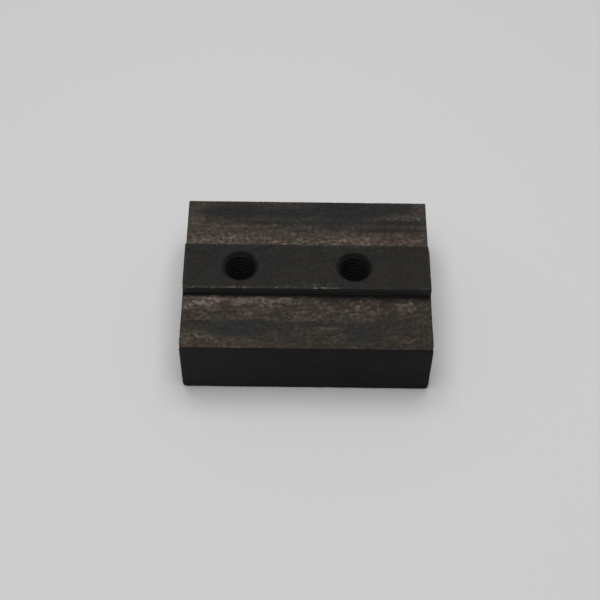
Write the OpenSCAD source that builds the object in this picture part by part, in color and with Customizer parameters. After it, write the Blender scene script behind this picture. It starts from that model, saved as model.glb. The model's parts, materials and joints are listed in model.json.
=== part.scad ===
// Vice nut: a T-shaped steel block that runs along the slot in the bed of a vice.
// The wide block bears under the bed, the low tongue on its top guides it in the slot,
// and two tapped holes down through the tongue take the screws that draw it up.
// The origin is the centre of the underside, with X along the slot and Z up.

/* [Block] */
// Length of the block along the slot
block_length = 70; // [56:0.5:120]
// Width of the block across the slot
block_width = 52.5; // [24:0.5:90]
// Thickness of the block from its underside to its shoulders
block_thickness = 20; // [8:0.1:40]

/* [Tongue] */
// Width of the slot that the tongue runs in
slot_width = 16; // [13:0.1:40]
// Clearance between the tongue and the slot, both sides together
slot_clearance = 0.1; // [0:0.05:0.6]
// Height of the tongue above the shoulders
tongue_height = 2.7; // [1:0.1:10]
// Radius that the cutter leaves along the foot of the tongue
foot_radius = 0.4; // [0.2:0.05:0.8]

/* [Screw holes] */
// Nominal diameter of the screw thread
thread_diameter = 10; // [5:0.5:14]
// Pitch of the screw thread
thread_pitch = 1.5; // [0.5:0.05:2.5]
// Distance from the left end of the block to the first hole
first_hole_inset = 16.1; // [8:0.1:28]
// Distance between the two holes
hole_spacing = 32.4; // [16:0.1:46]
// Extra diameter of the countersink's mouth over the thread
countersink_margin = 0.5; // [0.2:0.1:3]
// Full angle of the countersink
countersink_angle = 90; // [60:5:120]

/* [Edges] */
// Chamfer along the edges of the shoulders
shoulder_break = 0.4; // [0.1:0.05:1.5]
// Chamfer round the underside
underside_break = 0.6; // [0.1:0.05:2]
// Chamfer down the four upright corners of the block
corner_break = 0.5; // [0.1:0.05:2]
// Chamfer along the edges of the tongue
tongue_break = 0.2; // [0.1:0.05:0.8]

/* [Hidden] */
$fn = 96;
// How far a cut runs past the face that it opens
cut_overrun = 1;
tongue_width = slot_width - slot_clearance;
total_height = block_thickness + tongue_height;
// The tongue's solid starts at mid thickness, well inside the block
tongue_start = block_thickness / 2;
first_hole_x = first_hole_inset - block_length / 2;
hole_places = [for (i = [0, 1]) first_hole_x + i * hole_spacing];
// A 60 degree thread stands five eighths of its sharp height above its root
thread_depth = 5 / 8 * thread_pitch * sqrt(3) / 2;
bore_radius = thread_diameter / 2 - thread_depth;
mouth_radius = (thread_diameter + countersink_margin) / 2;
countersink_slope = tan(countersink_angle / 2);
countersink_depth = (mouth_radius - bore_radius) / countersink_slope;
overrun_radius = mouth_radius + cut_overrun * countersink_slope;

// Rectangle on the X axis with its lower corners cut off by low and its upper ones by high
module broken_rectangle(width, height, low, high) {
    half = width / 2;
    polygon([
        [low - half, 0], [half - low, 0],
        [half, low], [half, height - high],
        [half - high, height], [high - half, height],
        [-half, height - high], [-half, low]
    ]);
}

// Extrudes a section drawn across the block, along its length
module along_length(length) {
    rotate([90, 0, 90])
        linear_extrude(length, center = true)
            children();
}

// Extrudes a profile drawn along the block, across its width
module across_width(width) {
    rotate([90, 0, 0])
        linear_extrude(width, center = true)
            children();
}

// Extrudes a plan drawn from its front edge, up from the underside
module upward(width, height) {
    translate([0, -width / 2, 0])
        linear_extrude(height)
            children();
}

// Section across the block, with the rounded foot that carries the tongue
module block_section() {
    broken_rectangle(block_width, block_thickness, underside_break, shoulder_break);
    foot_width = tongue_width + 2 * foot_radius;
    difference() {
        translate([-foot_width / 2, block_thickness - foot_radius])
            square([foot_width, 2 * foot_radius]);
        for (side = [-1, 1])
            translate([side * foot_width / 2, block_thickness + foot_radius])
                circle(foot_radius);
    }
}

// Wide block, its end chamfers carried up through the foot of the tongue
module block() {
    foot_top = block_thickness + foot_radius;
    intersection() {
        along_length(block_length)
            block_section();
        across_width(block_width)
            broken_rectangle(block_length, foot_top, underside_break, shoulder_break + foot_radius);
        upward(block_width, foot_top)
            broken_rectangle(block_length, block_width, corner_break, corner_break);
    }
}

// Low tongue along the middle of the block, from end to end
module tongue() {
    height = total_height - tongue_start;
    translate([0, 0, tongue_start])
        intersection() {
            along_length(block_length)
                broken_rectangle(tongue_width, height, tongue_break, tongue_break);
            across_width(tongue_width)
                broken_rectangle(block_length, height, tongue_break, tongue_break);
            upward(tongue_width, height)
                broken_rectangle(block_length, tongue_width, tongue_break, tongue_break);
        }
}

// Hole at the crest diameter of its thread, countersunk at both mouths
module screw_hole() {
    rotate_extrude()
        polygon([
            [0, -cut_overrun],
            [overrun_radius, -cut_overrun],
            [bore_radius, countersink_depth],
            [bore_radius, total_height - countersink_depth],
            [overrun_radius, total_height + cut_overrun],
            [0, total_height + cut_overrun]
        ]);
}

// The whole nut, one piece of blackened steel
module vice_nut() {
    color([0.21, 0.20, 0.19])
        difference() {
            union() {
                block();
                tongue();
            }
            for (x = hole_places)
                translate([x, 0, 0])
                    screw_hole();
        }
}

vice_nut();
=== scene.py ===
import json
import math
from collections import namedtuple

import bmesh
import bpy
from mathutils import Matrix, Quaternion, Vector, noise


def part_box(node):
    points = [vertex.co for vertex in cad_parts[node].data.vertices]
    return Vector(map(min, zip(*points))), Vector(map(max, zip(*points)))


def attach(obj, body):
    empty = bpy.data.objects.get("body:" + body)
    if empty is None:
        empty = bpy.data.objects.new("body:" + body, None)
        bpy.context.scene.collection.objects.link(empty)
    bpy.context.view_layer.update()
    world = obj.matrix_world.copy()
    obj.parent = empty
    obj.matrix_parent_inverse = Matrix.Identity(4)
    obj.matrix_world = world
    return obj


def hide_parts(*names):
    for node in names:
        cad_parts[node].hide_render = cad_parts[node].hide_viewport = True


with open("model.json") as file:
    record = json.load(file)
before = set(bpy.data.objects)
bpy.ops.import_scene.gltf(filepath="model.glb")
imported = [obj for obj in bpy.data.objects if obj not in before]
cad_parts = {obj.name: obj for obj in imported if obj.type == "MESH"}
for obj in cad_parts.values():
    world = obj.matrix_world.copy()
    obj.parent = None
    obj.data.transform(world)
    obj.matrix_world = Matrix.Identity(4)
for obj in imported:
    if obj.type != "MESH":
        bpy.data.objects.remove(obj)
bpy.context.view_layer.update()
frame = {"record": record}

# Sizes in millimetres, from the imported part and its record
MM = 0.001
LOW, HIGH = (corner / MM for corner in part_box("vice_nut"))
MOUNTS = {mount["name"]: mount for mount in frame["record"]["mounts"]}
SHOULDER = MOUNTS["front_shoulder"]["pos_m"][2] / MM
HOLES = [MOUNTS[name]["pos_m"][0] / MM for name in ("screw_hole_left", "screw_hole_right")]
CREST_RADIUS = MOUNTS["screw_hole_left"]["dims"]["r_mm"]

# Sizes in millimetres that the record doesn't hold, as the part's source has them
TONGUE_HALF = 7.95
FOOT_RADIUS = 0.4
UNDERSIDE_BREAK = 0.6
SHOULDER_BREAK = 0.4
TONGUE_BREAK = 0.2
PITCH = 1.5
ROOT_RADIUS = 5.0
MOUTH_RADIUS = 5.25
COUNTERSINK_SLOPE = 1.0

# How the thread starts, in turns, millimetres below the face and a share of its depth
THREAD_TURN = 0.25
THREAD_START = 0.2
THREAD_FULL = 2.2
THREAD_LEAST = 0.2

# Worn lip of the countersinks, in millimetres
LIP_FLARE = 0.18
LIP_DEPTH = 0.5

# Fineness of the mesh, in millimetres, steps and turns of the thread
FINE_STEP = 0.6
COARSE_STEP = 1.1
STATION_STEP = 0.5
STATION_GAP = 0.2
ARC_STEPS = 4
SMOOTH_ANGLE = math.radians(32)
CUTTER_OVERRUN = 2
THREAD_SIDES = 96
THREAD_ROWS = (0, 0.125, 0.25, 0.354, 0.458, 0.5625, 0.625, 0.6875, 0.79, 0.896)

# Wear of the edges, in millimetres
END_SHARE = 0.9
WEAR_REACH = 0.9
RUB_SIZE = 6.0
RUB_DEPTH = 0.07
NICK_SIZE = 1.3
NICK_LEVEL = 0.25
NICK_DEPTH = 0.16

Corner = namedtuple("Corner", "place radius step")
Spot = namedtuple("Spot", "place normal wear end_break")

# Dings in the edges and corners, in millimetres
Ding = namedtuple("Ding", "x y z reach depth")
DINGS = [
    Ding(35.0, 7.95, 22.7, 2.4, 0.36),
    Ding(-35.0, -26.25, 20.0, 1.6, 0.25),
    Ding(35.0, -26.25, 20.0, 1.9, 0.22),
    Ding(-35.0, -7.95, 22.2, 1.7, 0.3),
    Ding(-26.0, -7.95, 22.7, 0.8, 0.14),
    Ding(-17.2, -7.95, 22.7, 0.8, 0.15),
    Ding(2.4, -7.95, 22.7, 0.9, 0.14),
    Ding(6.4, -7.95, 22.7, 1.2, 0.18),
    Ding(33.0, -7.95, 22.7, 0.8, 0.14),
    Ding(-35.0, -26.25, 0.0, 1.8, 0.2),
    Ding(35.0, -26.25, 0.0, 1.6, 0.25),
]


def section_corners():
    """Corners of the T-shaped section, anticlockwise seen from the right end."""
    side, foot, top = HIGH.y, TONGUE_HALF, HIGH.z
    return [
        Corner(Vector((-side, 0)), UNDERSIDE_BREAK, COARSE_STEP),
        Corner(Vector((side, 0)), UNDERSIDE_BREAK, COARSE_STEP),
        Corner(Vector((side, SHOULDER)), SHOULDER_BREAK, FINE_STEP),
        Corner(Vector((foot, SHOULDER)), FOOT_RADIUS, FINE_STEP),
        Corner(Vector((foot, top)), TONGUE_BREAK, FINE_STEP),
        Corner(Vector((-foot, top)), TONGUE_BREAK, FINE_STEP),
        Corner(Vector((-foot, SHOULDER)), FOOT_RADIUS, FINE_STEP),
        Corner(Vector((-side, SHOULDER)), SHOULDER_BREAK, COARSE_STEP),
    ]


def arc_spots(before, corner, after):
    """Spots round one corner, worn where the corner stands out."""
    back = (before.place - corner.place).normalized()
    on = (after.place - corner.place).normalized()
    convex = back.y * on.x - back.x * on.y > 0
    centre = corner.place + (back + on) * corner.radius
    end_break = END_SHARE * corner.radius
    spots = []
    for step in range(ARC_STEPS + 1):
        turn = math.pi / 2 * step / ARC_STEPS
        inward = on * math.cos(turn) + back * math.sin(turn)
        normal = -inward if convex else inward
        place = centre - inward * corner.radius
        spots.append(Spot(place, normal, float(convex), end_break))
    return spots


def nearness(distance):
    """Share of an edge's wear that reaches a place at this distance from it."""
    return max(0.0, 1 - distance / WEAR_REACH) ** 2


def span_spots(start, end, step):
    """Spots on the straight run between two arcs."""
    run = end.place - start.place
    count = max(2, math.ceil(run.length / step))
    spots = []
    for index in range(1, count):
        share = index / count
        wear = max(
            start.wear * nearness(share * run.length),
            end.wear * nearness((1 - share) * run.length),
        )
        end_break = start.end_break + (end.end_break - start.end_break) * share
        spots.append(Spot(start.place + run * share, start.normal, wear, end_break))
    return spots


def section_spots():
    """The whole section as one closed ring of spots."""
    corners = section_corners()
    count = len(corners)
    arcs = [arc_spots(corners[i - 1], corners[i], corners[(i + 1) % count]) for i in range(count)]
    ring = []
    for index, arc in enumerate(arcs):
        following = arcs[(index + 1) % count]
        ring += arc
        ring += span_spots(arc[-1], following[0], corners[index].step)
    return ring


def stations():
    """Places along the length as (x, turn round the end edge, wear), from left to right."""
    inner = HIGH.x - UNDERSIDE_BREAK - STATION_GAP
    count = math.ceil(2 * inner / STATION_STEP)
    middle = [-inner + 2 * inner * index / count for index in range(count + 1)]
    turns = [math.pi / 2 * index / ARC_STEPS for index in range(ARC_STEPS + 1)]
    left = [(-1, turn, 1.0) for turn in reversed(turns)]
    right = [(1, turn, 1.0) for turn in turns]
    return left + [(x / HIGH.x, None, nearness(HIGH.x - abs(x))) for x in middle] + right


def wear_depth(place):
    """How far wear has taken an edge down at a place."""
    rub = 0.5 + 0.5 * noise.noise(place / RUB_SIZE)
    nick = max(0.0, noise.noise(place / NICK_SIZE) - NICK_LEVEL) / (1 - NICK_LEVEL)
    return RUB_DEPTH * rub + NICK_DEPTH * nick


def ding_depth(place):
    """How far knocks have pushed the surface in at a place."""
    depth = 0.0
    for ding in DINGS:
        distance = (place - Vector(ding[:3])).length / ding.reach
        if distance < 1:
            depth = max(depth, ding.depth * (1 - distance ** 2) ** 2)
    return depth


def swept_place(spot, station):
    """Place of one spot at one station, with the edges worn down."""
    reach, turn, wear = station
    inset = spot.end_break * (1 - math.cos(turn or 0))
    flat = spot.place - spot.normal * inset
    x = reach * HIGH.x
    outward = Vector((0, *spot.normal))
    if turn is not None:
        x = reach * (HIGH.x - spot.end_break * (1 - math.sin(turn)))
        outward = outward * math.cos(turn) + Vector((reach, 0, 0)) * math.sin(turn)
    place = Vector((x, *flat))
    depth = max(spot.wear, wear) * wear_depth(place) + ding_depth(place)
    return place - outward * depth


def block_mesh():
    """The T-shaped block without its holes."""
    mesh = bmesh.new()
    ring = section_spots()
    rows = [[mesh.verts.new(swept_place(spot, station)) for spot in ring] for station in stations()]
    count = len(ring)
    for left, right in zip(rows, rows[1:]):
        for index in range(count):
            following = (index + 1) % count
            mesh.faces.new((left[index], left[following], right[following], right[index]))
    mesh.faces.new(reversed(rows[0]))
    mesh.faces.new(rows[-1])
    bmesh.ops.recalc_face_normals(mesh, faces=mesh.faces)
    return mesh


def thread_radius(phase):
    """Radius of a full thread at a share of its pitch: crest, flank, root and flank."""
    points = ((0.25, CREST_RADIUS), (0.5625, ROOT_RADIUS), (0.6875, ROOT_RADIUS), (1.0, CREST_RADIUS))
    low, low_radius = 0.0, CREST_RADIUS
    for high, high_radius in points:
        if phase <= high:
            return low_radius + (high_radius - low_radius) * (phase - low) / (high - low)
        low, low_radius = high, high_radius
    return low_radius


def thread_share(z):
    """Share of the thread's depth at a height: it fades in below each countersink."""
    depth = min(z, HIGH.z - z)
    share = (depth - THREAD_START) / (THREAD_FULL - THREAD_START)
    return min(1.0, max(THREAD_LEAST, share))


def mouth_radius(z):
    """Radius of the countersinks at a height, at whichever end is nearer, with a worn lip."""
    depth = min(z, HIGH.z - z)
    lip = LIP_FLARE * max(0.0, 1 - max(0.0, depth) / LIP_DEPTH) ** 2
    return MOUTH_RADIUS + lip - depth * COUNTERSINK_SLOPE


def hole_rows(mesh, hole_x):
    """Rows of corners that climb along the helix of one hole's thread."""
    last_turn = math.ceil(HIGH.z / PITCH) + CUTTER_OVERRUN
    rows = []
    for turn in range(-CUTTER_OVERRUN, last_turn):
        for phase in THREAD_ROWS:
            row = []
            for side in range(THREAD_SIDES):
                share = side / THREAD_SIDES
                z = (turn + phase + share - THREAD_TURN) * PITCH
                cut = CREST_RADIUS + (thread_radius(phase) - CREST_RADIUS) * thread_share(z)
                radius = max(cut, mouth_radius(z))
                angle = 2 * math.pi * share
                row.append(mesh.verts.new((
                    hole_x + radius * math.cos(angle),
                    radius * math.sin(angle),
                    z,
                )))
            rows.append(row)
    return rows


def join_rows(mesh, rows):
    """Faces between neighbouring rows, and from the end of each turn to the start of the next."""
    step = len(THREAD_ROWS)
    for index in range(len(rows) - 1):
        low, high = rows[index], rows[index + 1]
        for side in range(THREAD_SIDES - 1):
            mesh.faces.new((low[side], low[side + 1], high[side + 1], high[side]))
        if index + step + 1 < len(rows):
            next_low, next_high = rows[index + step], rows[index + step + 1]
            mesh.faces.new((low[-1], next_low[0], next_high[0], high[-1]))


def close_ends(mesh, rows, hole_x):
    """Faces from the first and the last turn to two poles on the hole's axis."""
    step = len(THREAD_ROWS)
    lower = mesh.verts.new((hole_x, 0, rows[0][0].co.z - PITCH))
    upper = mesh.verts.new((hole_x, 0, rows[-1][-1].co.z + PITCH))
    rim_low = rows[0] + [row[0] for row in rows[step:0:-1]]
    rim_high = rows[-1] + [row[-1] for row in rows[-2:-2 - step:-1]]
    for rim, pole in ((rim_low, lower), (rim_high, upper)):
        for index in range(len(rim)):
            mesh.faces.new((rim[index - 1], rim[index], pole))


def hole_mesh(hole_x):
    """Cutter for one tapped hole."""
    mesh = bmesh.new()
    rows = hole_rows(mesh, hole_x)
    join_rows(mesh, rows)
    close_ends(mesh, rows, hole_x)
    bmesh.ops.recalc_face_normals(mesh, faces=mesh.faces)
    return mesh


def add_object(name, mesh):
    """A new object in the scene with this mesh, in the mesh's own units."""
    data = bpy.data.meshes.new(name)
    mesh.to_mesh(data)
    mesh.free()
    made = bpy.data.objects.new(name, data)
    bpy.context.scene.collection.objects.link(made)
    return made


def cut_holes(body, cutters):
    """Takes the cutters out of the body for good."""
    for cutter in cutters:
        modifier = body.modifiers.new(cutter.name, "BOOLEAN")
        modifier.operation = "DIFFERENCE"
        modifier.solver = "EXACT"
        modifier.object = cutter
    graph = bpy.context.evaluated_depsgraph_get()
    solid = body.data
    body.data = bpy.data.meshes.new_from_object(body.evaluated_get(graph))
    body.modifiers.clear()
    bpy.data.meshes.remove(solid)
    for cutter in cutters:
        data = cutter.data
        bpy.data.objects.remove(cutter)
        bpy.data.meshes.remove(data)


def make_body():
    """The whole nut as one mesh, in metres."""
    body = add_object("vice_nut_body", block_mesh())
    cutters = [add_object(f"cutter_{index}", hole_mesh(x)) for index, x in enumerate(HOLES)]
    cut_holes(body, cutters)
    body.data.name = body.name
    body.data.transform(Matrix.Scale(MM, 4))
    body.data.shade_smooth()
    body.data.set_sharp_from_angle(angle=SMOOTH_ANGLE)
    weighted = body.modifiers.new("flat_faces", "WEIGHTED_NORMAL")
    weighted.keep_sharp = True
    return body


class Graph:
    """A material's node tree, written as formulas of sockets and numbers."""

    def __init__(self, material):
        material.use_nodes = True
        self.tree = material.node_tree
        self.tree.nodes.clear()

    def feed(self, socket, value):
        if isinstance(value, bpy.types.NodeSocket):
            self.tree.links.new(value, socket)
        else:
            socket.default_value = value

    def node(self, kind, inputs, **settings):
        made = self.tree.nodes.new(kind)
        for name, value in settings.items():
            setattr(made, name, value)
        for key, value in inputs.items():
            self.feed(made.inputs[key], value)
        return made

    def math(self, operation, *terms):
        return self.node("ShaderNodeMath", dict(enumerate(terms)), operation=operation).outputs[0]

    def vector(self, operation, *terms):
        made = self.node("ShaderNodeVectorMath", dict(enumerate(terms)), operation=operation)
        return made.outputs["Value" if operation == "LENGTH" else "Vector"]

    def add(self, *terms):
        total = terms[0]
        for term in terms[1:]:
            total = self.math("ADD", total, term)
        return total

    def times(self, *terms):
        total = terms[0]
        for term in terms[1:]:
            total = self.math("MULTIPLY", total, term)
        return total

    def most(self, *terms):
        total = terms[0]
        for term in terms[1:]:
            total = self.math("MAXIMUM", total, term)
        return total

    def rest(self, share):
        return self.math("SUBTRACT", 1.0, share)

    def rise(self, value, low, high, start=0.0, end=1.0, shape="SMOOTHSTEP"):
        """Climb from start, where value is low, to end, where it is high."""
        inputs = {"Value": value, "From Min": low, "From Max": high, "To Min": start, "To Max": end}
        return self.node("ShaderNodeMapRange", inputs, interpolation_type=shape).outputs[0]

    def grain(self, place, size, detail=2.0, rough=0.5):
        """Noise from 0 to 1 whose lumps are about size across."""
        stretch = size if isinstance(size, tuple) else (size, size, size)
        scaled = self.vector("DIVIDE", place, stretch)
        inputs = {"Vector": scaled, "Scale": 1.0, "Detail": detail, "Roughness": rough}
        return self.node("ShaderNodeTexNoise", inputs).outputs[0]

    def jitter(self, place, size):
        """Vector of three noises, each about from -0.5 to 0.5, whose lumps are about size across."""
        inputs = {"Vector": self.vector("DIVIDE", place, (size, size, size)), "Scale": 1.0, "Detail": 1.0}
        return self.vector("SUBTRACT", self.node("ShaderNodeTexNoise", inputs).outputs[1], (0.5, 0.5, 0.5))

    def tinge(self, place, size, spread):
        """Factor on a colour whose channels each stray from 1 by up to half of spread."""
        stray = (spread, spread, spread)
        return self.vector("MULTIPLY_ADD", self.jitter(place, size), stray, (1.0, 1.0, 1.0))

    def specks(self, place, size, share):
        """Specks of mixed sizes, about size apart, on a share of the places that could hold one."""
        inputs = {"Vector": self.vector("DIVIDE", place, size), "Scale": 1.0}
        cell = self.node("ShaderNodeTexVoronoi", inputs, voronoi_dimensions="2D")
        luck = self.node("ShaderNodeSeparateColor", {0: cell.outputs["Color"]}).outputs
        reach = self.rise(luck[0], 0.0, 1.0, 0.3, 0.75)
        dot = self.rise(cell.outputs["Distance"], reach, self.times(reach, 0.35))
        without = self.rest(share)
        return self.times(dot, self.rise(luck[1], without, self.add(without, 0.15)))

    def tint(self, share, under, over):
        """Colour that goes from under to over as share goes from 0 to 1."""
        made = self.node("ShaderNodeMix", {0: share}, data_type="RGBA")
        self.feed(made.inputs[6], under)
        self.feed(made.inputs[7], over)
        return made.outputs[2]

    def ramp(self, value, steps):
        """Colour along a row of steps, each a share and a colour."""
        made = self.node("ShaderNodeValToRGB", {0: value})
        elements = made.color_ramp.elements
        while len(elements) < len(steps):
            elements.new(0.5)
        for element, (share, colour) in zip(elements, steps):
            element.position = share
            element.color = colour
        return made.outputs[0]


def ink(red, green, blue):
    """Linear colour of an sRGB colour given from 0 to 255."""
    def linear(level):
        level /= 255
        return level / 12.92 if level <= 0.04045 else ((level + 0.055) / 1.055) ** 2.4
    return (linear(red), linear(green), linear(blue), 1.0)


# Colours of the finish, some of them painted light or painted shade as marked
OXIDE = ink(20, 20, 20)
OXIDE_GREY = ink(28, 28, 28)
# Painted light: paler oxide laid on towards the left end, as if lit more from the left
OXIDE_LEFT_PAINTED_LIGHT = ink(36, 36, 36)
OXIDE_SPECK = ink(70, 69, 67)
RUBBED_COOL = ink(26, 27, 26)
RUBBED_WARM = ink(42, 39, 36)
RUBBED_SPECK = ink(54, 52, 49)
# Rubbed oxide of the tongue's walls, painted lighter than the top to make up for the shade the walls get
RUBBED_WALL_PAINTED_LIGHTER = ink(62, 62, 60)
# Darker wall colour for random mottle, and painted shade on the lower wall near the foot
WALL_MOTTLE_AND_FOOT_SHADE = ink(57, 56, 54)
# Painted shade: a dark band on the top along its front edge, in the shaded wall's tone
EDGE_PAINTED_SHADE = ink(18, 18, 17)
# Painted shade with some grime in the fillet at the tongue's foot
FILLET_SHADE_AND_GRIME = ink(14, 13, 13)
# Grime and painted shade along the tongue's foot
FOOT_GRIME_AND_SHADE = ink(6, 6, 6)
COUNTERSINK = ink(19, 19, 19)
# Painted light on the countersinks' lip, but for its rear
LIP_PAINTED_LIGHT = ink(36, 36, 35)
RING = ink(27, 27, 27)
# Painted light on the threads: the crests and the shaded deep flanks are lighter than the flanks, whose
# colour stays near the oxide's
UPPER_CREST_PAINTED_LIGHT = ink(46, 46, 45)
CREST_PAINTED_LIGHT = ink(55, 55, 54)
FLANK = ink(23, 23, 23)
ROOT_PAINTED_LIGHT = ink(84, 84, 82)
BARE_STEEL = ink(100, 98, 93)

# Colours of the patina from dark to light, as (share, colour)
BROWN_STEPS = [
    (0.0, ink(27, 26, 24)),
    (0.2, ink(42, 38, 34)),
    (0.45, ink(60, 54, 48)),
    (0.7, ink(80, 73, 66)),
    (1.0, ink(108, 102, 97)),
]
SLATE_STEPS = [
    (0.0, ink(29, 29, 29)),
    (0.3, ink(43, 42, 41)),
    (1.0, ink(102, 97, 92)),
]

# Factors on the colours of the shoulders and the tongue, and how far small tinges stray from 1
REDDISH = (1.08, 0.98, 0.96, 1.0)
OLIVE = (0.97, 1.012, 0.97, 1.0)
BLUISH = (0.95, 1.0, 1.05, 1.0)
BROWNISH = (1.06, 1.0, 0.95, 1.0)
PATINA_TINGE = 0.4
TONGUE_TINGE = 0.35

# Roughness and shine of the finish, and its relief in millimetres
LEAST_ROUGH = 0.5
MOST_ROUGH = 0.62
SHOULDER_ROUGH = 0.1
HOLE_ROUGH = 0.25
SHINE = 0.08
GRIT_RELIEF = 0.06
FINE_RELIEF = 0.012

# Soft oval places in millimetres, and where they fade as shares of their half sizes
Oval = namedtuple("Oval", "x y half_length half_width strength")
OVAL_REACH = 1.8
OVAL_CORE = 0.2
# Slate-black places on the shoulders
BLACK_PLACES = [
    Oval(-21.0, 22.0, 11.0, 2.6, 1.05),
    Oval(12.0, 22.8, 14.0, 3.8, 1.0),
    Oval(-6.0, 21.8, 16.0, 2.0, 0.9),
    Oval(26.0, 23.8, 7.0, 2.4, 0.75),
    Oval(6.0, 18.3, 30.0, 0.9, 0.75),
    Oval(-12.0, 18.2, 9.0, 0.8, 0.85),
    Oval(26.0, 18.4, 10.0, 1.1, 0.9),
    Oval(24.0, 15.6, 12.0, 0.9, 0.85),
    Oval(8.0, 16.8, 7.0, 2.2, 0.55),
    Oval(-19.0, -18.0, 15.0, 1.2, 1.05),
    Oval(-29.0, -17.8, 6.5, 0.9, 1.15),
    Oval(2.0, -17.9, 11.0, 0.75, 1.4),
    Oval(-20.0, -19.6, 9.5, 3.2, 1.0),
    Oval(16.0, -20.8, 5.5, 3.6, 0.95),
    Oval(25.0, -20.2, 8.0, 2.0, 0.55),
    Oval(-21.0, -12.3, 4.5, 0.8, 0.6),
    Oval(-5.0, -21.8, 4.0, 2.4, 0.65),
]
# Thin dark lines along the shoulders
LINE_PLACES = [
    Oval(8.0, 18.4, 27.0, 0.5, 0.75),
    Oval(-10.0, 18.3, 8.0, 0.5, 0.6),
    Oval(26.0, 15.5, 9.0, 0.45, 0.7),
    Oval(3.0, -17.9, 8.0, 0.5, 1.25),
    Oval(-30.0, -17.7, 6.0, 0.5, 0.7),
]
# Reddish, pale and dim places on the shoulders, and places with more flecks
RED_PLACES = [
    Oval(-25.0, -12.5, 14.0, 4.5, 1.0),
    Oval(-21.0, 14.0, 13.0, 5.0, 0.45),
    Oval(-27.0, -24.8, 11.0, 2.0, 0.6),
    Oval(14.0, -12.5, 14.0, 3.5, 0.5),
    Oval(24.0, 11.5, 12.0, 3.0, 0.9),
    Oval(28.0, -23.5, 8.0, 2.5, 0.5),
]
PALE_PLACES = [
    Oval(-24.0, 16.8, 13.0, 2.2, 0.4),
    Oval(-33.5, 21.0, 4.0, 7.0, 1.0),
    Oval(28.0, 20.5, 8.0, 1.0, 1.0),
    Oval(33.5, 21.0, 2.5, 6.0, 0.7),
    Oval(-25.0, -23.5, 13.0, 3.0, 0.7),
    Oval(-24.0, 13.0, 15.0, 4.0, 0.3),
]
DIM_PLACES = [
    Oval(14.0, -12.0, 34.0, 5.5, 0.6),
    Oval(14.0, -24.0, 30.0, 3.5, 0.3),
    Oval(9.5, -13.0, 2.0, 3.5, 0.7),
    Oval(23.0, -12.5, 1.8, 4.0, 0.75),
    Oval(-6.0, -13.5, 4.0, 1.2, 0.4),
    Oval(-15.0, -14.6, 5.0, 0.9, 0.4),
]
FLECK_PLACES = [
    Oval(-29.0, -10.6, 8.0, 2.6, 1.0),
    Oval(-15.0, -10.0, 13.0, 1.8, 1.0),
    Oval(-18.0, -10.2, 4.0, 1.5, 1.3),
    Oval(-6.0, -10.0, 3.5, 1.5, 1.2),
    Oval(-11.0, -11.0, 5.0, 2.6, 1.0),
    Oval(-18.0, -13.5, 14.0, 2.0, 0.5),
    Oval(-14.0, -16.2, 18.0, 0.8, 0.6),
    Oval(4.0, -14.5, 8.0, 3.0, 0.8),
    Oval(15.5, -13.0, 5.0, 3.5, 1.0),
    Oval(3.0, -16.3, 9.0, 0.8, 1.2),
    Oval(13.6, -14.6, 0.9, 0.9, 1.6),
    Oval(28.0, -11.8, 4.5, 2.2, 1.0),
    Oval(0.0, 10.7, 36.0, 1.2, 0.6),
    Oval(-25.0, 19.4, 6.0, 0.7, 0.7),
    Oval(-20.0, 9.3, 12.0, 0.7, 0.9),
    Oval(31.0, 9.6, 4.0, 0.9, 0.9),
    Oval(0.0, 13.5, 36.0, 3.0, 0.25),
    Oval(14.0, 11.5, 24.0, 2.6, 0.5),
    Oval(4.0, -20.8, 8.0, 2.5, 0.4),
    Oval(16.0, -24.4, 20.0, 1.2, 0.45),
    Oval(-30.0, -21.5, 5.0, 2.0, 0.6),
]
# Places on the tongue's top that are rubbed to specks of bare steel
SPECK_PLACES = [
    Oval(4.0, -7.0, 7.0, 1.6, 0.7),
    Oval(6.5, -7.4, 3.0, 1.2, 0.95),
    Oval(-7.0, -7.2, 9.0, 1.2, 0.5),
    Oval(-25.0, -7.8, 12.0, 0.7, 0.6),
    Oval(25.0, -7.8, 14.0, 0.6, 0.15),
    Oval(10.0, 7.6, 16.0, 1.0, 0.5),
    Oval(-24.0, 7.8, 12.0, 0.8, 0.5),
    Oval(0.7, 5.3, 1.0, 0.4, 0.65),
    Oval(5.7, 5.6, 1.3, 0.4, 0.9),
    Oval(20.9, 6.0, 1.2, 0.4, 0.65),
]
# Places on the tongue's top with more of its fine specks
SPRINKLE_PLACES = [
    Oval(-7.0, 3.0, 7.0, 3.5, 0.5),
    Oval(2.0, -3.0, 8.0, 3.0, 0.3),
]

# Bright stretches of the tongue's front edge in millimetres, with their full strength at the core
Stretch = namedtuple("Stretch", "x half_length strength")
STRETCH_CORE = 0.4
BRIGHT_STRETCHES = [
    Stretch(4.5, 7.0, 1.0),
    Stretch(-7.0, 3.0, 0.6),
    Stretch(-17.0, 3.0, 0.8),
    Stretch(-21.0, 2.0, 0.7),
    Stretch(-29.0, 6.0, 0.7),
    Stretch(33.0, 2.0, 0.7),
]

# Scratches on the front and the back in millimetres, tilted in degrees from level
Scratch = namedtuple("Scratch", "x y z half_length tilt strength")
SCRATCH_REACH = 3.0
SCRATCH_HALF_WIDTH = 0.16
SCRATCHES = [
    Scratch(7.0, -26.25, 8.6, 2.4, 46.0, 0.4),
    Scratch(10.0, -26.25, 10.9, 2.6, 8.0, 0.25),
    Scratch(-12.5, -26.25, 14.3, 0.5, 0.0, 0.5),
    Scratch(-26.0, -26.25, 16.0, 1.6, 80.0, 0.25),
    Scratch(33.3, -26.25, 3.4, 0.4, 30.0, 0.6),
    Scratch(-9.0, 26.25, 12.0, 4.0, -20.0, 0.35),
    Scratch(-6.5, 26.25, 9.0, 2.0, -24.0, 0.3),
    Scratch(20.0, 26.25, 6.0, 1.5, 35.0, 0.4),
]

Where = namedtuple("Where", "place flat x y z across facing endward")


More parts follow.
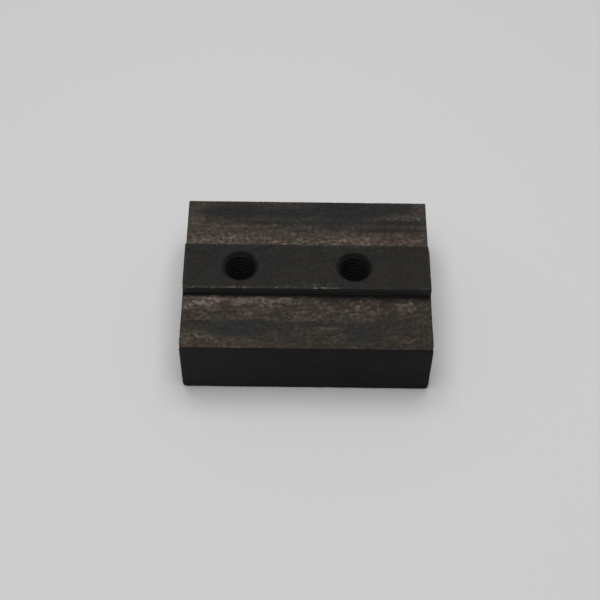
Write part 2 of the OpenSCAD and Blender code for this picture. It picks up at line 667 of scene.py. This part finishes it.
def whereabouts(g):
    """Coordinates of a place in millimetres, and how far its surface faces up and to an end."""
    coordinates = g.node("ShaderNodeTexCoord", {})
    inputs = {0: coordinates.outputs["Object"], "Scale": 1 / MM}
    place = g.node("ShaderNodeVectorMath", inputs, operation="SCALE").outputs[0]
    x, y, z = g.node("ShaderNodeSeparateXYZ", {0: place}).outputs
    sideways, _, facing = g.node("ShaderNodeSeparateXYZ", {0: coordinates.outputs["Normal"]}).outputs
    flat = g.node("ShaderNodeCombineXYZ", {0: x, 1: y, 2: 0.0}).outputs[0]
    return Where(place, flat, x, y, z, g.math("ABSOLUTE", y), facing, g.math("ABSOLUTE", sideways))


def blots(g, place, ovals):
    """Share from 0 to 1 of soft oval places at a place."""
    found = None
    for oval in ovals:
        off = g.vector("SUBTRACT", place, (oval.x, oval.y, 0))
        off = g.vector("DIVIDE", off, (oval.half_length, oval.half_width, 1))
        share = g.rise(g.vector("LENGTH", off), OVAL_REACH, OVAL_CORE, 0.0, oval.strength)
        found = share if found is None else g.most(found, share)
    return found


def oxide_colour(g, at, dapple):
    """Black oxide of the sides and the underside, with a few specks and scratches, and painted light that
    makes it paler towards the left.
    """
    mottle = g.add(g.grain(at.place, (9.0, 9.0, 5.0), 3.0), g.times(dapple, 0.5))
    colour = g.tint(g.rise(mottle, 0.5, 1.0), OXIDE, OXIDE_GREY)
    # Painted light: the oxide grows paler towards the left end
    colour = g.tint(g.rise(g.add(at.x, g.times(mottle, 8.0)), 12.0, -34.0, 0.0, 0.7), colour, OXIDE_LEFT_PAINTED_LIGHT)
    marks = g.times(g.rise(g.grain(at.place, 0.7, 1.0), 0.72, 0.8), 0.35)
    for scratch in SCRATCHES:
        off = g.vector("SUBTRACT", at.place, (scratch.x, scratch.y, scratch.z))
        inputs = {0: off, "Angle": math.radians(scratch.tilt)}
        turned = g.node("ShaderNodeVectorRotate", inputs, rotation_type="Y_AXIS").outputs[0]
        size = (scratch.half_length, SCRATCH_REACH, SCRATCH_HALF_WIDTH)
        gap = g.vector("LENGTH", g.vector("DIVIDE", turned, size))
        marks = g.most(marks, g.rise(gap, 1.0, 0.3, 0.0, scratch.strength))
    return g.tint(marks, colour, OXIDE_SPECK)


def strayed_places(g, at):
    """A place moved about by noise in full and by a quarter, which frays the outlines of ovals."""
    sway = g.add(g.grain(at.flat, (9.0, 3.0, 3.0), 3.0), -0.5)
    waver = g.add(g.grain(at.flat, (6.0, 2.0, 2.0), 3.0), -0.5)
    inputs = {0: g.times(sway, 6.0), 1: g.times(waver, 2.0), 2: 0.0}
    drift = g.node("ShaderNodeCombineXYZ", inputs).outputs[0]
    far = g.vector("ADD", at.flat, drift)
    near = g.vector("MULTIPLY_ADD", drift, (0.25, 0.25, 0.0), at.flat)
    return far, near


def patina_tone(g, at, spot, grit, streak):
    """Tone of the patina from dark to light, and the share of flecks in it."""
    front = g.rise(at.y, 1.0, -1.0)
    cloud = g.add(g.rise(g.grain(at.flat, (5.0, 2.6, 2.0), 3.0, 0.6), 0.3, 0.7), -0.5)
    level = g.rise(at.across, 19.0, 10.0, 0.31, 0.48)
    flecked = blots(g, spot, FLECK_PLACES)
    clouds = g.times(cloud, g.add(0.35, g.times(front, g.rest(flecked), 0.35)))
    lift = g.add(1.0, g.times(blots(g, spot, PALE_PLACES), 0.45), g.times(streak, 0.9), clouds)
    level = g.times(level, lift, g.rest(g.times(blots(g, spot, DIM_PLACES), 0.5)))

    fleck = g.grain(at.flat, (1.5, 1.2, 1.0), 3.0, 0.55)
    flecks = g.rise(g.add(fleck, g.times(cloud, 0.05), g.times(flecked, 0.19)), 0.52, 0.8)
    flecks = g.times(flecks, g.add(0.5, g.times(flecked, 0.45)))
    grain = g.math("POWER", g.times(grit, 2.0), g.rise(front, 0.0, 1.0, 1.1, 1.45))
    return g.times(level, g.add(grain, flecks)), flecks


def patina_brown(g, at, spot, tone):
    """Brown of a tone, redder in some places and duller towards the rear."""
    hue = g.grain(at.flat, (7.0, 4.0, 4.0), 2.0)
    red = blots(g, spot, RED_PLACES)
    warmth = g.tint(g.rise(g.add(hue, g.times(red, 0.25)), 0.4, 0.75), OLIVE, REDDISH)
    brown = g.vector("MULTIPLY", g.ramp(tone, BROWN_STEPS), warmth)
    dull = g.times(g.rise(at.y, 14.0, 18.0, 0.0, 0.6), g.rise(at.x, -24.0, -6.0, 0.1, 1.0))
    return g.tint(dull, brown, g.ramp(tone, SLATE_STEPS))


def patina_colour(g, at, grit):
    """Speckled brown patina of the shoulders, with places where black oxide is left."""
    spot, near_spot = strayed_places(g, at)
    streak = g.add(g.grain(at.flat, (18.0, 0.9, 1.0), 3.0, 0.6), -0.5)
    uneven = g.add(grit, -0.5)
    dark = g.most(blots(g, spot, BLACK_PLACES), blots(g, near_spot, LINE_PLACES))
    black = g.rise(g.add(dark, g.times(streak, 0.6), g.times(uneven, 0.9)), 0.15, 0.95)
    tone, flecks = patina_tone(g, at, spot, grit, streak)
    deep = g.rise(at.y, -1.0, 1.0, 0.22, 0.17)
    shade = g.add(deep, g.times(uneven, 0.8), g.times(streak, 0.4), g.times(flecks, 0.1))
    colour = g.tint(black, patina_brown(g, at, spot, tone), g.ramp(shade, SLATE_STEPS))
    return g.vector("MULTIPLY", colour, g.tinge(at.flat, 1.1, PATINA_TINGE))


def shoulder_colour(g, at, grit):
    """Patina, with grime and painted shade along the foot of the tongue, over a band that widens to the
    right of the front.
    """
    fringe = g.add(g.grain(at.flat, (3.0, 1.5, 1.5), 3.0), -0.5)
    gap = g.add(at.across, -TONGUE_HALF, g.times(fringe, 0.9))
    width = g.add(1.4, g.times(g.rise(at.x, -8.0, 18.0, 0.0, 1.8), g.rise(at.y, 0.0, -1.0)))
    # Grime and painted shade: the shoulder darkens towards the tongue's foot
    clear_of_foot = g.rise(gap, 0.3, width, shape="LINEAR")
    return g.tint(clear_of_foot, FOOT_GRIME_AND_SHADE, patina_colour(g, at, grit))


def rubbed_colour(g, at, dapple):
    """Rubbed oxide of the tongue's top, in cool and warm patches with fine specks."""
    cloud = g.grain(at.place, 4.0, 2.0)
    fine = g.grain(at.place, (0.8, 0.6, 0.8), 2.0, 0.6)
    share = g.add(g.times(dapple, 0.4), g.times(fine, 0.4), g.times(cloud, 0.2))
    top = g.tint(g.rise(share, 0.32, 0.68), RUBBED_COOL, RUBBED_WARM)
    top = g.vector("MULTIPLY", top, g.tinge(at.place, 2.2, TONGUE_TINGE))
    hue = g.add(g.grain(at.place, (5.0, 3.0, 4.0), 3.0, 0.6), g.rise(at.x, 14.0, 30.0, 0.0, 0.1))
    warmth = g.tint(g.rise(hue, 0.35, 0.65), BLUISH, BROWNISH)
    top = g.vector("MULTIPLY", top, warmth)
    frayed = g.vector("ADD", at.flat, g.vector("MULTIPLY", g.jitter(at.flat, 0.7), (0.8, 0.6, 0.0)))
    sprinkle = g.add(0.3, blots(g, at.flat, SPRINKLE_PLACES))
    return g.tint(g.times(g.specks(frayed, (0.9, 0.7, 1.0), 0.2), sprinkle), top, RUBBED_SPECK)


def worn_top(g, at, dapple, top):
    """The top's colour, paler along its edges and ends, and bare steel in places."""
    rim = g.rise(at.across, TONGUE_HALF - 1.4, TONGUE_HALF - 0.1)
    rim = g.times(rim, g.rise(at.x, 18.0, -30.0, 0.1, 0.4))
    rim = g.most(rim, g.rise(at.y, TONGUE_HALF - 1.2, TONGUE_HALF - 0.1, 0.0, 0.45))
    ends = g.rise(g.math("ABSOLUTE", at.x), HIGH.x - 1.0, HIGH.x - 0.3, 0.0, 0.6)
    top = g.tint(g.times(g.most(rim, ends), g.rise(dapple, 0.3, 0.6)), top, RUBBED_SPECK)
    patches = g.rise(g.grain(at.flat, (2.5, 1.5, 1.5), 2.0), 0.25, 0.6)
    bare = g.times(blots(g, at.flat, SPECK_PLACES), patches)
    scuff = g.add(g.grain(at.flat, (0.8, 0.6, 1.0), 2.0, 0.6), g.times(bare, 0.2))
    return g.tint(g.times(g.rise(scuff, 0.6, 0.8), bare, 0.75), top, BARE_STEEL)


def front_edge(g, at, top):
    """The top's colour with its front edge bright in places, and painted shade on it that widens to the
    right.
    """
    polish = g.rise(at.x, 12.0, 5.0, 0.05, 0.2)
    for stretch in BRIGHT_STRETCHES:
        gap = g.math("ABSOLUTE", g.add(at.x, -stretch.x))
        core = stretch.half_length * STRETCH_CORE
        polish = g.most(polish, g.rise(gap, stretch.half_length, core, 0.0, stretch.strength))
    behind = g.add(at.y, TONGUE_HALF)
    edge = g.rise(behind, 1.1, 0.4)
    shine = g.rise(g.grain(at.place, (0.9, 0.6, 0.6), 2.0, 0.6), 0.48, 0.66)
    top = g.tint(g.times(edge, polish, shine), top, BARE_STEEL)
    # Painted shade: a dark band on the top along the front edge, as dark as the shaded wall, widening to
    # the right
    line = g.rise(at.x, LOW.x, HIGH.x, 0.1, 0.45, shape="LINEAR")
    return g.tint(g.rise(g.math("SUBTRACT", behind, line), 0.1, -0.1), top, EDGE_PAINTED_SHADE)


def tongue_colour(g, at, dapple):
    """Rubbed oxide of the tongue's top and walls, the walls painted lighter than the top against the shade
    they get, and darker towards the foot as painted shade.
    """
    top = rubbed_colour(g, at, dapple)
    top = worn_top(g, at, dapple, top)
    top = front_edge(g, at, top)
    wall = g.tint(g.rise(dapple, 0.35, 0.65), WALL_MOTTLE_AND_FOOT_SHADE, RUBBED_WALL_PAINTED_LIGHTER)
    # Painted shade: the lower part of the wall, near the foot, is darker
    wall = g.tint(g.rise(at.z, SHOULDER + 1.7, SHOULDER + 0.6), wall, WALL_MOTTLE_AND_FOOT_SHADE)
    upright = g.most(g.rise(at.facing, 0.5, 0.2), g.rise(at.z, SHOULDER + 1.3, SHOULDER + 0.8))
    return g.tint(upright, top, wall)


def hole_colour(g, at, gap):
    """Oxide of the countersinks, with painted light round the lip but for its rear, and of the threads
    below, with painted light on the crests and on the shaded deep flanks.
    """
    # Painted light: the deep part of each up-facing flank, shaded by the thread above, is lighter
    deep = g.rise(gap, CREST_RADIUS + 0.3, CREST_RADIUS + 0.55)
    deep = g.times(deep, g.rise(at.z, HIGH.z - 1.6, HIGH.z - 2.6))
    cone = g.tint(g.rise(at.z, HIGH.z - 0.5, HIGH.z - 0.9), COUNTERSINK, RING)
    # Painted light: the lip is lighter on its sides and front, and its rear keeps the dark countersink
    # colour
    cone = g.tint(g.times(g.rise(at.z, HIGH.z - 0.9, HIGH.z), g.rise(at.y, 4.2, 2.2)), cone, LIP_PAINTED_LIGHT)
    sloping = g.tint(g.rise(at.z, HIGH.z - 1.1, HIGH.z - 1.6), cone, g.tint(deep, FLANK, ROOT_PAINTED_LIGHT))
    # Painted light: the upright crests, which get little light, are lighter, and more so deeper in the
    # hole
    crest = g.tint(g.rise(at.z, HIGH.z - 1.2, HIGH.z - 2.6), UPPER_CREST_PAINTED_LIGHT, CREST_PAINTED_LIGHT)
    return g.tint(g.rise(at.facing, 0.3, 0.6), crest, sloping)


def hole_distance(g, at):
    """Distance from the axis of the nearer hole."""
    nearest = None
    for hole_x in HOLES:
        gap = g.vector("LENGTH", g.vector("SUBTRACT", at.flat, (hole_x, 0, 0)))
        nearest = gap if nearest is None else g.math("MINIMUM", nearest, gap)
    return nearest


def shoulder_share(g, at):
    """Share from 0 to 1 that a place has in the tops of the shoulders."""
    upward = g.rise(at.facing, 0.55, 0.9)
    return g.times(upward, g.rise(at.across, TONGUE_HALF + 0.15, TONGUE_HALF + 0.35))


def tongue_share(g, at):
    """Share from 0 to 1 that a place has in the tongue, but for its ends."""
    above = g.rise(at.z, SHOULDER, SHOULDER + 0.4)
    within = g.rise(at.across, TONGUE_HALF + 0.4, TONGUE_HALF + 0.2)
    return g.times(above, within, g.rise(at.endward, 0.85, 0.6))


def fillet_share(g, at):
    """Share from 0 to 1 that a place has in the fillet along the tongue's foot."""
    return g.times(
        g.rise(at.across, TONGUE_HALF - 0.1, TONGUE_HALF),
        g.rise(at.across, TONGUE_HALF + 0.5, TONGUE_HALF + 0.35),
        g.rise(at.z, SHOULDER - 0.1, SHOULDER),
        g.rise(at.z, SHOULDER + 0.5, SHOULDER + 0.4),
        g.rise(at.facing, 0.1, 0.45),
    )


def steel_material():
    """Black oxide on steel, worn to a speckled brown patina on the shoulders, with painted light and shade
    on the walls, in the corners and in the holes.
    """
    material = bpy.data.materials.new("blackened_steel_worn_painted_light")
    g = Graph(material)
    at = whereabouts(g)
    grit = g.grain(at.flat, (1.15, 1.05, 1.0), 3.0, 0.55)
    dapple = g.grain(at.place, (1.3, 1.0, 1.3), 3.0, 0.6)
    hole_gap = hole_distance(g, at)
    shoulder = shoulder_share(g, at)
    bored = g.rise(hole_gap, MOUTH_RADIUS + 0.05, MOUTH_RADIUS - 0.3)

    colour = oxide_colour(g, at, dapple)
    colour = g.tint(shoulder, colour, shoulder_colour(g, at, grit))
    colour = g.tint(tongue_share(g, at), colour, tongue_colour(g, at, dapple))
    # Painted shade with some grime: the fillet in the tongue's foot is darker than the oxide
    colour = g.tint(fillet_share(g, at), colour, FILLET_SHADE_AND_GRIME)
    colour = g.tint(bored, colour, hole_colour(g, at, hole_gap))

    rough = g.rise(dapple, 0.3, 0.7, LEAST_ROUGH, MOST_ROUGH)
    rough = g.add(rough, g.times(shoulder, SHOULDER_ROUGH), g.times(bored, HOLE_ROUGH))
    fine = g.times(g.grain(at.place, 0.3, 2.0), FINE_RELIEF)
    relief = g.add(g.times(grit, shoulder, GRIT_RELIEF), fine)
    bump = g.node("ShaderNodeBump", {"Strength": 1.0, "Distance": MM, "Height": relief})

    shader = g.node("ShaderNodeBsdfPrincipled", {
        "Base Color": colour,
        "Roughness": rough,
        "Normal": bump.outputs[0],
        "Specular IOR Level": SHINE,
    })
    g.node("ShaderNodeOutputMaterial", {"Surface": shader.outputs[0]})
    return material


# Stage, light and camera, in metres unless a name says otherwise
FLOOR_SIZE = 6.0
FLOOR_PARTS = 4
FLOOR_COLOUR = ink(206, 206, 206)
FLOOR_ROUGH = 0.9
FLOOR_SHINE = 0.1
SOFTBOX_SIZE = (0.62, 0.76)
SOFTBOX_PLACE = (-0.02, -0.01, 0.74)
SOFTBOX_POWER = 5.5
AMBIENT = 0.21
AMBIENT_LEAN = (-0.15, 0.75, 0.0)
EYE_MM = Vector((-2.487, -230.3, 325.05))
AIM_MM = Vector((-1.868, -9.76, 20.0))
ROLL = math.radians(0.83)
LENS_MM = 80.5
SENSOR_MM = 36.0
CLIP_START = 0.01


def make_floor():
    """Plain pale floor under the nut."""
    mesh = bmesh.new()
    bmesh.ops.create_grid(mesh, x_segments=FLOOR_PARTS, y_segments=FLOOR_PARTS, size=FLOOR_SIZE / 2)
    floor = add_object("floor", mesh)
    material = bpy.data.materials.new("floor_paper")
    graph = Graph(material)
    shader = graph.node("ShaderNodeBsdfPrincipled", {
        "Base Color": FLOOR_COLOUR,
        "Roughness": FLOOR_ROUGH,
        "Specular IOR Level": FLOOR_SHINE,
    })
    graph.node("ShaderNodeOutputMaterial", {"Surface": shader.outputs[0]})
    floor.data.materials.append(material)


def make_light():
    """A large softbox overhead, and a glow from all round that leans to the back left."""
    lamp = bpy.data.lights.new("softbox", "AREA")
    lamp.shape = "RECTANGLE"
    lamp.size, lamp.size_y = SOFTBOX_SIZE
    lamp.energy = SOFTBOX_POWER
    softbox = bpy.data.objects.new("softbox", lamp)
    softbox.location = SOFTBOX_PLACE
    bpy.context.scene.collection.objects.link(softbox)

    world = bpy.data.worlds.new("studio")
    bpy.context.scene.world = world
    graph = Graph(world)
    direction = graph.node("ShaderNodeTexCoord", {}).outputs["Generated"]
    lean = graph.node("ShaderNodeVectorMath", {0: direction, 1: AMBIENT_LEAN}, operation="DOT_PRODUCT")
    strength = graph.times(graph.add(1.0, lean.outputs["Value"]), AMBIENT)
    background = graph.node("ShaderNodeBackground", {"Color": (1, 1, 1, 1), "Strength": strength})
    graph.node("ShaderNodeOutputWorld", {"Surface": background.outputs[0]})


def make_camera():
    """Camera at the photograph's place, with its slight roll."""
    data = bpy.data.cameras.new("camera")
    data.sensor_width = SENSOR_MM
    data.lens = LENS_MM
    data.clip_start = CLIP_START
    camera = bpy.data.objects.new("camera", data)
    camera.rotation_mode = "QUATERNION"
    camera.location = EYE_MM * MM
    aim = (AIM_MM - EYE_MM).to_track_quat("-Z", "Y")
    camera.rotation_quaternion = aim @ Quaternion((0, 0, 1), ROLL)
    bpy.context.scene.collection.objects.link(camera)
    bpy.context.scene.camera = camera


body = make_body()
body.data.materials.clear()
body.data.materials.append(steel_material())
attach(body, "root")
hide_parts("vice_nut")
make_floor()
make_light()
make_camera()
bpy.context.scene.view_settings.view_transform = "Standard"
